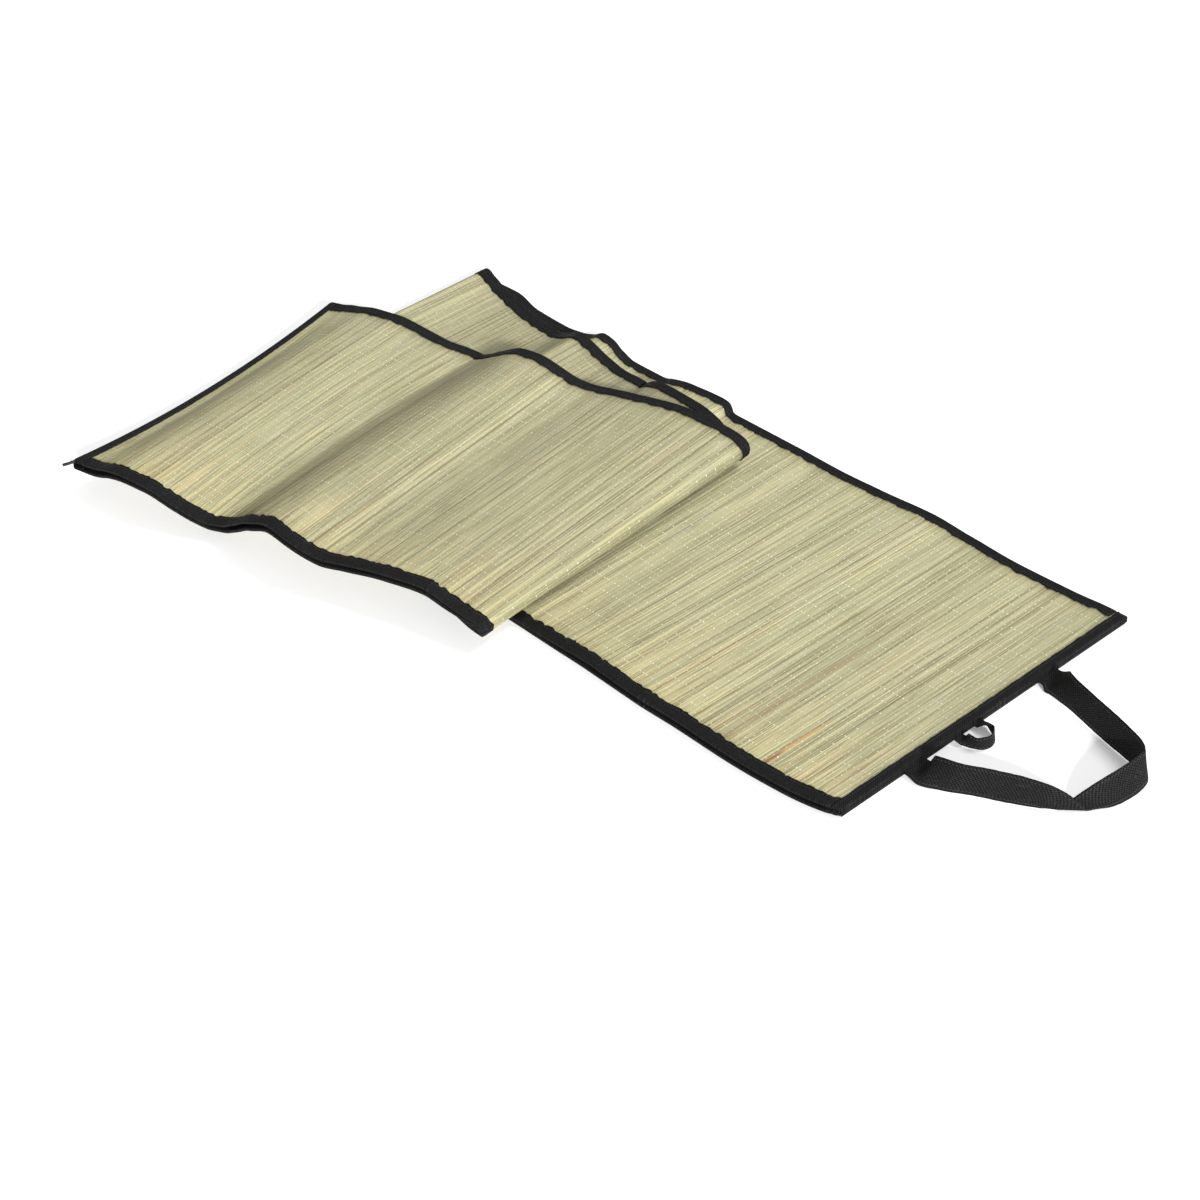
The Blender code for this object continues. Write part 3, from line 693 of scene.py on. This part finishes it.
def wander(place, seed, spans):
    """A smooth uneven line: a few waves whose lengths and starts come from the seed."""
    draw = np.random.default_rng(seed)
    total = np.zeros_like(place)
    for span in spans:
        for _ in range(3):
            total += np.sin(2 * pi * (place / (span * draw.uniform(0.7, 1.3)) + draw.random())) * draw.uniform(0.3, 1)
    return total / (1.5 * len(spans))


# %% Tape wrinkles
def tape_relief(place, down, seed, pull):
    """How far a tape stands off its flat place: puckers, a pressed line under the stitches, and a lifted cut edge."""
    cross = wander(place + 5.0 * down, seed, (6.5, 11)) + 0.8 * wander(place - 7.0 * down, seed + 1, (9, 17))
    bunched = np.clip(0.55 + 0.6 * wander(place, seed + 2, (45, 90)), 0.15, 1.3)
    free = np.clip(down * 3, 0, 1)
    press = np.exp(-(((down - pull) / 0.10) ** 2))
    lifted = np.clip((down - pull) / (1 - pull), 0, 1)
    return PUCKER * bunched * cross * free * (1 - 0.5 * press) - PRESSED * press + LIFTED * lifted


def wrap(tape, cut, place, reach, half):
    """How far in and how high each corner of a wrinkled tape lies, and where it is across the flat tape."""
    inward, height, down, side = tape_section(cut.row, reach, half, cut.under)
    pull = 1 - STITCH_IN / (tape.wide - NOSE_DEEP)
    # the side of every corner is part of the seed, so each tape draws wrinkles of its own
    height = height + side * tape_relief(place, down, tape.seed + 9 + 20 * (side < 0), pull)
    flat = (tape.wide + 1.5) * (down * side + np.where(down > 0, 0.1 * side, 0)) + MAP_START
    return inward, height, flat


print(TAPE_ROWS, "rows round a folded tape")

# %% [markdown]
# ### Along the three long edges
#
# One tape wraps both panels on the spine, and each panel has its own tape on the free edge. They all use the same
# section, and only the edge, the reach and the gap that they wrap differ.

# %% Side and spine tapes
# The spine tape was guided by hand and reaches further in on some parts of the strip: where, and by how many mm.
Eased = namedtuple("Eased", "share more")
EASED = [
    Eased(0, 0), Eased(0.36, 0.5), Eased(0.45, 5), Eased(0.53, 5), Eased(0.62, 1.5), Eased(0.75, 1.5), Eased(1, 3.5)
]
TAPE_STEP = 2.6
BUTT = 0.12  # between the end of a side tape and the end tape that it meets
WAVE, BUNCH = 1.1, 2.2  # how far a long tape's cut edge wanders, and how far it is drawn up in bunches


def one_panel(along):
    return np.full(len(along), TAPE_HALF)


def both_panels(along):
    return (PANEL_APART + curve_through(ROWS, along, KNOTS)[:, 9]) / 2 + TAPE_HALF


def bind_long_edge(tape):
    start, end = RIGHT_TAPE + BUTT + tape.back.right, LENGTH - LEFT_TAPE - BUTT - tape.back.left
    columns = int((end - start) / TAPE_STEP)
    cut = cut_flat(tape.name, columns, TAPE_ROWS)
    along = start + (end - start) * cut.column / columns
    bunched = np.clip(0.5 + 0.7 * wander(along, tape.seed + 2, (45, 90)), 0.1, 1.4)
    reach = tape.wide + WAVE * wander(along, tape.seed, (14, 33))
    reach = reach + BUNCH * bunched * wander(along, tape.seed + 5, (7, 11))
    if tape.on_spine:
        reach = reach + np.interp(along / LENGTH, [e.share for e in EASED], [e.more for e in EASED])
    inward, height, flat = wrap(tape, cut, along, reach, tape.half_of(along))
    share = inward / width_at(along)
    across = 1 - share if tape.on_spine else share
    return put_in_place(cut, lay(tape.surface, along, across, height), along, flat)


LongTape = namedtuple("LongTape", "name node surface wide half_of on_spine back seed")
LONG_TAPES = [
    LongTape("binding_spine", "spine_tape", middle, SPINE_TAPE, both_panels, True, LOWER_BACK, 101),
    LongTape("binding_side_upper", "side_binding_upper", UPPER, SIDE_TAPE, one_panel, False, LEVEL, 202),
    LongTape("binding_side_lower", "side_binding_lower", LOWER, SIDE_TAPE, one_panel, False, LOWER_BACK, 303),
]
bindings = {tape: bind_long_edge(tape) for tape in LONG_TAPES}
print(len(bindings), "long tapes")

# %% [markdown]
# ### Across the two ends
#
# Each panel has its own short tape on each end. The columns now run across the width, and the section reaches in
# along the strip. The tape's two ends are tucked in and pressed shut, so no straw shows at the corners.

# %% End tapes
END_PROUD = 1.0  # how far a closed end of the tape passes the long edge


def bind_end(tape):
    columns = int(WIDTH / TAPE_STEP)
    cut = cut_flat(tape.name, columns, TAPE_ROWS)
    share = cut.column / columns
    place = share * WIDTH
    reach = tape.wide + 0.45 * wander(place, tape.seed, (17, 40)) + 0.25 * wander(place, tape.seed + 5, (6,))
    closed = np.minimum(cut.column, columns - cut.column) == 0
    share = share + (2 * share - 1) * np.where(closed, END_PROUD / WIDTH, 0)
    inward, height, flat = wrap(tape, cut, place, reach, np.where(closed, 0.4 * TAPE_HALF, TAPE_HALF))
    inward = inward + (tape.back.left if tape.at_left else tape.back.right)
    along = LENGTH - inward if tape.at_left else inward
    return put_in_place(cut, lay(tape.surface, along, share, height), place, flat)


EndTape = namedtuple("EndTape", "name node surface wide at_left back seed")
END_TAPES = [
    EndTape("binding_right_upper", "end_binding_right_upper", UPPER, RIGHT_TAPE, False, LEVEL, 404),
    EndTape("binding_left_upper", "end_binding_left_upper", UPPER, LEFT_TAPE, True, LEVEL, 606),
    EndTape("binding_right_lower", "end_binding_right_lower", LOWER, RIGHT_TAPE, False, LOWER_BACK, 505),
    EndTape("binding_left_lower", "end_binding_left_lower", LOWER, LEFT_TAPE, True, LOWER_BACK, 707),
]
bindings.update({tape: bind_end(tape) for tape in END_TAPES})
for tape, piece in bindings.items():
    print(tape.name, "has", len(piece.data.polygons), "faces")

# %% [markdown]
# ## The handle and the closing loop
#
# Both are straps of the same tape, doubled and sewn. A strap can only bend across its width, not in its own plane, so
# where the handle turns its corner it lies over in a slanting fold. The table gives both long edges of the strap at
# each turn, and the strap keeps its width between them.

# %% The tables of the straps
HANDLE_WIDE, LOOP_WIDE, STRAP_THICK = 26.0, 11.0, 0.8
STRAP_ROWS, STRAP_STEP = 12, 1.8
HANDLE_HEM, LOOP_HEM = 2.6, 1.8  # from the strap's edge to its line of stitches

# Each row holds the two long edges of the strap, from the root beside the free edge of the mat to the other root.
Strap = namedtuple("Strap", "a_x a_y a_z b_x b_y b_z")
HANDLE = [
    Strap(-9, 72, 3.65, -9, 98, 3.65),
    Strap(2, 72, 3.65, 2, 98, 3.65),
    Strap(15, 74, 1.8, 13, 90, 19),
    Strap(28, 80, 0.7, 31, 93, 24),
    Strap(49, 94, 0.7, 53, 104, 25),
    Strap(71, 107, 0.7, 75, 115, 25),
    Strap(86, 117, 0.7, 96, 125, 21),
    Strap(92, 121, 0.7, 110, 137, 11),
    Strap(96, 124, 0.7, 121, 149, 0.8),
    Strap(104, 143, 6, 124, 157, 0.8),
    Strap(112, 163, 15, 128, 172, 0.8),
    Strap(117, 185, 21, 130, 190, 0.8),
    Strap(119, 206, 24, 127, 206, 0.8),
    Strap(112, 213, 25, 110, 212, 0.8),
    Strap(81, 225, 25, 77, 220, 0.8),
    Strap(49, 235, 25, 40, 230, 0.8),
    Strap(22, 246, 19, 14, 236, 1.6),
    Strap(2, 263, 3.65, 2, 238, 3.65),
    Strap(-9, 263, 3.65, -9, 238, 3.65),
]
LOOP = [
    Strap(-9, 131, 3.65, -9, 142, 3.65),
    Strap(1.5, 131, 3.65, 1.5, 142, 3.65),
    Strap(8, 134, 1.4, 8, 138, 11),
    Strap(14, 137, 0.7, 14, 138, 11),
    Strap(20, 142, 0.7, 18, 143, 11),
    Strap(22, 149, 0.7, 20, 149, 11),
    Strap(20, 156, 0.7, 18, 155, 11),
    Strap(14, 161, 0.7, 14, 160, 11),
    Strap(8, 164, 1.4, 8, 160, 11),
    Strap(1.5, 167, 3.65, 1.5, 156, 3.65),
    Strap(-9, 167, 3.65, -9, 156, 3.65),
]
print("handle rows", len(HANDLE), "and loop rows", len(LOOP))

# %% Straps
StrapLine = namedtuple("StrapLine", "knots edges wide length")


def strap_line(table, wide):
    edges = np.array(table, float)
    mid = (edges[:, 0:3] + edges[:, 3:6]) / 2
    knots = np.concatenate([[0], np.cumsum(np.linalg.norm(np.diff(mid, axis=0), axis=1))])
    return StrapLine(knots, edges, wide, knots[-1])


def strap_place(strip, along, across, lift):
    """A place on a strap: along it in mm, across from -1 to 1, and off its middle."""

    def sides(at):
        both = curve_through(strip.edges, np.clip(at, 0, strip.length), strip.knots)
        mid, over = (both[:, 0:3] + both[:, 3:6]) / 2, unit(near_to_far(both)) * strip.wide / 2
        mid[:, 2] = np.maximum(mid[:, 2], np.abs(over[:, 2]) + 0.5)
        return mid, over

    mid, over = sides(along)
    ahead, behind = sides(along + 1.0)[0], sides(along - 1.0)[0]
    off = unit(np.cross(ahead - behind, over))
    return (mid + over * across[:, None] + off * lift[:, None] + SHIFT) * MM


def make_strap(name, table, wide, hem, seed):
    strip = strap_line(table, wide)
    columns = int(strip.length / STRAP_STEP)
    cut = cut_flat(name, columns, STRAP_ROWS)
    along = strip.length * cut.column / columns
    share = 2 * cut.row / STRAP_ROWS - 1
    edge = 1 - np.abs(share)
    # the doubled edge beyond the stitches is a soft roll, and the middle is slack between the two lines
    press = np.exp(-(((edge * wide / 2 - hem) / 0.9) ** 2))
    relief = 0.10 * wander(along + 4 * share, seed, (9, 21)) - 0.12 * press
    thick = STRAP_THICK / 2 * np.where(edge < 0.01, 0.45, 1.0)
    lift = np.where(cut.under, -1, 1) * (thick + np.where(edge < 0.01, 0, relief))
    sway = 1 + 0.25 / wide * wander(along, seed + 3, (11, 27)) * np.abs(share)
    places = strap_place(strip, along, share * sway, lift)
    return put_in_place(cut, places, along, share * wide / 2 + MAP_START), strip


handle, handle_strip = make_strap("carrying_handle", HANDLE, HANDLE_WIDE, HANDLE_HEM, 811)
loop, loop_strip = make_strap("closing_loop_strap", LOOP, LOOP_WIDE, LOOP_HEM, 822)
print(f"handle {handle_strip.length:.0f} mm, loop {loop_strip.length:.0f} mm")

# %% [markdown]
# ## The black tape finish
#
# Non-woven tape is felted from plastic fibre and pressed between rollers, which leave a fine slanting check in it.
# It is nearly black. Its felt and check are painted lighter where they stand up and darker in the hollows, a painted
# highlight and painted shade over the relief, and dust and loose fibre make it slightly grey on raised parts.

# %% Tape
# the lighter tape and strap colours are the painted highlight on the raised felt and check
TAPE_DARK, TAPE_HIGHLIGHT, TAPE_DUST = (0.002, 0.002, 0.002), (0.0145, 0.0145, 0.0145), (0.045, 0.045, 0.044)
STRAP_HIGHLIGHT = (0.0165, 0.0165, 0.0165)


def tape_finish(name, lines_a_metre, lit):
    finish, nodes = new_finish(name)
    flat = nodes.add("UVMap", uv_map="flat").outputs["UV"]
    place = nodes.add("SeparateXYZ", {0: flat})
    ripple = []
    for slant in (1.0, -1.0):
        lean = nodes.scaled(place.outputs["Y"], slant, place.outputs["X"])
        wave = nodes.calc("SINE", nodes.times(lean, lines_a_metre * 2 * pi))
        ripple.append(wave)
    check = nodes.scaled(nodes.calc("ADD", ripple[0], ripple[1]), 0.25, 0.5)
    felt = nodes.noise(flat, 480, 480, 3.0, 0.65)
    worn = nodes.noise(flat, 90, 120, 3.0, 0.6, 4.0)
    tone = nodes.scaled(felt, 0.5, nodes.times(check, 0.6))
    # painted highlight and shade: the raised felt and check take the lighter colour and the hollows the darker one,
    # following the same tone as the bump
    colour = nodes.blend(nodes.remap(tone, 0.36, 0.74), (*TAPE_DARK, 1), (*lit, 1))
    dusty = nodes.times(nodes.remap(worn, 0.50, 0.78), nodes.remap(felt, 0.45, 0.75))
    colour = nodes.tint(nodes.times(dusty, 0.55), colour, TAPE_DUST)
    rough = nodes.remap(tone, 0.2, 0.9, 0.78, 0.55)
    relief = nodes.bump(tone, 0.9, 0.4)
    nodes.shade({"Base Color": colour, "Roughness": rough, "Normal": relief, "Specular IOR Level": 0.10})
    return finish


binding_finish = tape_finish("binding_tape_finish", 430, TAPE_HIGHLIGHT)
strap_finish = tape_finish("strap_tape_finish", 360, STRAP_HIGHLIGHT)
for each in bindings.values():
    each.data.materials.append(binding_finish)
for each in (handle, loop):
    each.data.materials.append(strap_finish)
print(len(bindings), "bindings and 2 straps finished")

# %% [markdown]
# ## The stitches
#
# Lockstitch leaves a row of short beads of thread, each pressed into the cloth at its ends. One bead is a small ball
# stretched along the seam. It is made once, and the same few faces are then set down along every seam, so thousands
# of stitches stay light.

# %% One stitch, many places
STITCH_LONG, STITCH_WIDE, STITCH_HIGH, STITCH_PITCH = 2.1, 0.55, 0.34, 2.8
SUNK, STRAP_SUNK = 0.10, 0.02  # how far the stitches are pressed into the tape


def one_stitch():
    work = bmesh.new()
    bmesh.ops.create_icosphere(work, subdivisions=1, radius=0.5)
    places = np.array([v.co[:] for v in work.verts])
    faces = np.array([[v.index for v in f.verts] for f in work.faces])
    work.free()
    return places, faces


def sew(name, lines, finish):
    """One mesh of stitches. Each line holds the middles, the ways along and the ways out, in metres."""
    places, faces = one_stitch()
    every, corners, count = [], [], 0
    for middle_of, ahead, out in lines:
        aside = np.cross(out, ahead)
        size = np.array([STITCH_LONG, STITCH_WIDE, STITCH_HIGH]) * MM
        axes = np.stack([ahead * size[0], aside * size[1], out * size[2]], axis=1)
        placed = middle_of[:, None, :] + np.einsum("vk,nkc->nvc", places, axes)
        every.append(placed.reshape(-1, 3))
        starts = count + len(places) * np.arange(len(middle_of))
        corners.append((starts[:, None, None] + faces[None]).reshape(-1, 3))
        count += len(places) * len(middle_of)
    mesh = bpy.data.meshes.new(name)
    mesh.from_pydata(np.concatenate(every).tolist(), [], np.concatenate(corners).tolist())
    smooth_faces(mesh)
    turn_outwards(mesh)
    mesh.materials.append(finish)
    return add_object(name, mesh)


def line_on(place_of, at, side):
    """A seam from a function that gives a place for a distance along the seam and a lift."""
    here, ahead = place_of(at, 0.0), place_of(at + 0.5, 0.0)
    out = unit(place_of(at, 1.0) - here) * side
    return here, unit(ahead - here), out


# %% Seams on the bindings
def long_seam(tape, side):
    def place_of(at, more):
        share = (tape.wide - STITCH_IN) / width_at(at)
        across = 1 - share if tape.on_spine else share
        return lay(tape.surface, at, across, side * (tape.half_of(at) - SUNK) + more)

    at = np.arange(RIGHT_TAPE + tape.back.right + 2, LENGTH - LEFT_TAPE - tape.back.left - 3, STITCH_PITCH)
    return line_on(place_of, at, side)


def end_seam(tape, side):
    def place_of(at, more):
        inward = np.full(len(at), tape.wide - STITCH_IN + (tape.back.left if tape.at_left else tape.back.right))
        along = LENGTH - inward if tape.at_left else inward
        return lay(tape.surface, along, at / WIDTH, np.full(len(at), side * (TAPE_HALF - SUNK) + more))

    return line_on(place_of, np.arange(2, WIDTH - 2, STITCH_PITCH), side)


seams = []
for side in (1, -1):
    seams += [long_seam(tape, side) for tape in LONG_TAPES] + [end_seam(tape, side) for tape in END_TAPES]
print(len(seams), "seams on the bindings")

# %% Seams on the straps
def strap_seam(strip, in_from_edge, edge, side):
    def place_of(at, more):
        across = np.full(len(at), edge * (1 - 2 * in_from_edge / strip.wide))
        return strap_place(strip, at, across, np.full(len(at), side * (STRAP_THICK / 2 - STRAP_SUNK) + more))

    return line_on(place_of, np.arange(14, strip.length - 14, STITCH_PITCH), side)


strap_seams = [
    strap_seam(strip, hem, edge, side)
    for strip, hem in ((handle_strip, HANDLE_HEM), (loop_strip, LOOP_HEM))
    for edge in (1, -1)
    for side in (1, -1)
]


def thread_finish(name, colour):
    finish, nodes = new_finish(name)
    place = nodes.add("TexCoord").outputs["Object"]
    fuzz = nodes.add("TexNoise", {"Vector": place, "Scale": 2600.0, "Detail": 2.0}).outputs["Fac"]
    dark = tuple(0.45 * c for c in colour)
    twisted = nodes.tint(fuzz, (*dark, 1), colour)
    nodes.shade({"Base Color": twisted, "Roughness": 0.6, "Normal": nodes.bump(fuzz, 0.4, 0.1)})
    return finish


binding_stitches = sew("binding_stitches", seams, thread_finish("binding_thread_finish", (0.03, 0.03, 0.031)))
strap_stitches = sew("strap_stitches", strap_seams, thread_finish("strap_thread_finish", (0.06, 0.06, 0.06)))
print(len(binding_stitches.data.polygons) + len(strap_stitches.data.polygons), "faces in all the stitches")

# %% [markdown]
# ## Loose threads
#
# Where a tape was cut off, a few fibres stick out, and on one corner a tail of tape was left on. Without them the
# corners look moulded. Each fibre is a thin round thread: a small ring whose end is pushed on in short steps, turning
# a little each time.

# %% Frayed ends
FRAY_SIDES, FRAY_STEPS = 5, 6


def add_fibre(work, start, way, long, thick, bend, draw):
    """One fibre: a disc that is extruded in short steps, turning a little each time."""
    way = Vector(way).normalized()
    aim = way.to_track_quat("Z", "Y").to_matrix().to_4x4()
    rim = bmesh.ops.create_circle(
        work, cap_ends=True, segments=FRAY_SIDES, radius=thick / 2 * MM, matrix=Matrix.Translation(start) @ aim
    )["verts"]
    tip = [f for f in rim[0].link_faces if len(f.verts) == FRAY_SIDES]
    for _ in range(FRAY_STEPS):
        grown = bmesh.ops.extrude_face_region(work, geom=tip)["geom"]
        tip = [g for g in grown if isinstance(g, bmesh.types.BMFace)]
        way = (way + Vector(draw.normal(0, bend, 3))).normalized()
        moved = [g for g in grown if isinstance(g, bmesh.types.BMVert)]
        bmesh.ops.translate(work, verts=moved, vec=way * long / FRAY_STEPS * MM)


# Where a bunch of fibres starts, as a place on a panel in mm along and a share across, and which way it points. Then
# how long and thick they are in mm, how much they bend, and how many there are.
Fray = namedtuple("Fray", "surface along across way_x way_y way_z long thick bend count")
FRAYS = [
    Fray(UPPER, LENGTH - 3, 0.010, -0.3, -1.0, -0.15, 18, 3.2, 0.02, 1),
    Fray(UPPER, LENGTH - 2, -0.004, -1.0, -0.3, 0.35, 7, 0.35, 0.2, 4),
    Fray(UPPER, 2, 0.000, 0.6, -1.0, -0.1, 3, 0.35, 0.2, 5),
    Fray(UPPER, 3, 0.996, 1.0, 0.6, 0.3, 4, 0.3, 0.2, 3),
]


def fray_ends(name, table, seed):
    work, draw = bmesh.new(), np.random.default_rng(seed)
    for f in table:
        at = np.array([f.along])
        start = lay(f.surface, at, np.array([f.across]), np.array([0.2]))[0]
        for _ in range(f.count):
            way = np.array([f.way_x, f.way_y, f.way_z]) + draw.normal(0, 0.14, 3)
            begin = Vector(start + draw.normal(0, 0.5, 3) * MM)
            add_fibre(work, begin, way, f.long * draw.uniform(0.8, 1.0), f.thick, f.bend, draw)
    mesh = mesh_from(work, name)
    turn_outwards(mesh)
    smooth_faces(mesh)
    return add_object(name, mesh)


frayed_ends = fray_ends("frayed_ends", FRAYS, 909)
frayed_ends.data.materials.append(thread_finish("frayed_finish", (0.02, 0.02, 0.02)))
print(len(frayed_ends.data.polygons), "faces of loose fibre")

# %% [markdown]
# ## What rides on what
#
# The mat has no moving parts, so every piece rides on the one body. Each piece that stands for a plain solid names it,
# and that solid is hidden.

# %% Tell the frame
def takes_over(piece, slot, *nodes):
    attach(piece, "root")
    if nodes:
        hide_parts(*nodes)


takes_over(upper.piece, "straw", "straw_upper")
takes_over(lower.piece, "straw_under", "straw_lower")
for tape, piece in bindings.items():
    takes_over(piece, "black_tape", tape.node)
takes_over(handle, "black_tape", "handle_strap")
takes_over(loop, "black_tape", "closing_loop")
for piece in (binding_stitches, strap_stitches, frayed_ends):
    takes_over(piece, "black_tape")
print("every piece rides on the root")

# %% [markdown]
# ## Floor and light
#
# A plain pale floor and two lamps. The key comes low from the handle end, so each crease has a lit side and a shaded
# side. The fill is broad and comes from beyond the spine, so the near edge stands on a soft shadow. The pale
# surroundings lighten both.

# %% Floor
FLOOR_GLOW = 0.215  # the floor is a light table, which keeps the shadows on it pale
FLOOR_RADIUS, FLOOR_BELOW = 9.0, 0.2  # in metres, and in mm below where the mat rests


def make_floor():
    work = bmesh.new()
    sunk = Matrix.Translation((0, 0, -FLOOR_BELOW * MM))
    bmesh.ops.create_circle(work, cap_ends=True, segments=64, radius=FLOOR_RADIUS, matrix=sunk)
    mesh = mesh_from(work, "floor")
    finish, nodes = new_finish("floor_finish")
    nodes.shade({"Base Color": (0.90, 0.90, 0.90, 1), "Roughness": 0.7})
    nodes.shade({"Emission Color": (1, 1, 1, 1), "Emission Strength": FLOOR_GLOW})
    mesh.materials.append(finish)
    return add_object("floor", mesh)


floor = make_floor()

# %% Light
SKY_STRENGTH = 0.38  # it lights the mat this much, but looks white behind the floor

# Each lamp: degrees from +X towards +Y, degrees above the floor, how wide it looks, and its strength.
Lamp = namedtuple("Lamp", "name turn up spread strength")
LAMPS = [Lamp("key", -27.5, 23.0, 5.0, 4.6), Lamp("fill", 72.0, 57.0, 28.0, 1.6)]
for each in LAMPS:
    light = bpy.data.lights.new(each.name, "SUN")
    light.angle = radians(each.spread)
    light.energy = each.strength
    lamp = add_object(each.name, light)
    lamp.rotation_euler = Euler((radians(90 - each.up), 0, radians(each.turn + 90)))

surroundings = bpy.data.worlds.new("surroundings")
surroundings.use_nodes = True
sky = Nodes(surroundings.node_tree)
seen = sky.add("LightPath").outputs["Is Camera Ray"]
strength = sky.scaled(seen, 1 - SKY_STRENGTH, SKY_STRENGTH)
sky.fill(sky.tree.nodes["Background"], {"Color": (1, 1, 1, 1), "Strength": strength})
bpy.context.scene.world = surroundings
bpy.context.scene.view_settings.view_transform = "Standard"
print("floor and light are ready")

# %% [markdown]
# ## Sizes
#
# The last line works out the length of the strip less where the lower panel stands back at its two ends, in metres.

(LENGTH - sum(LOWER_BACK)) * MM
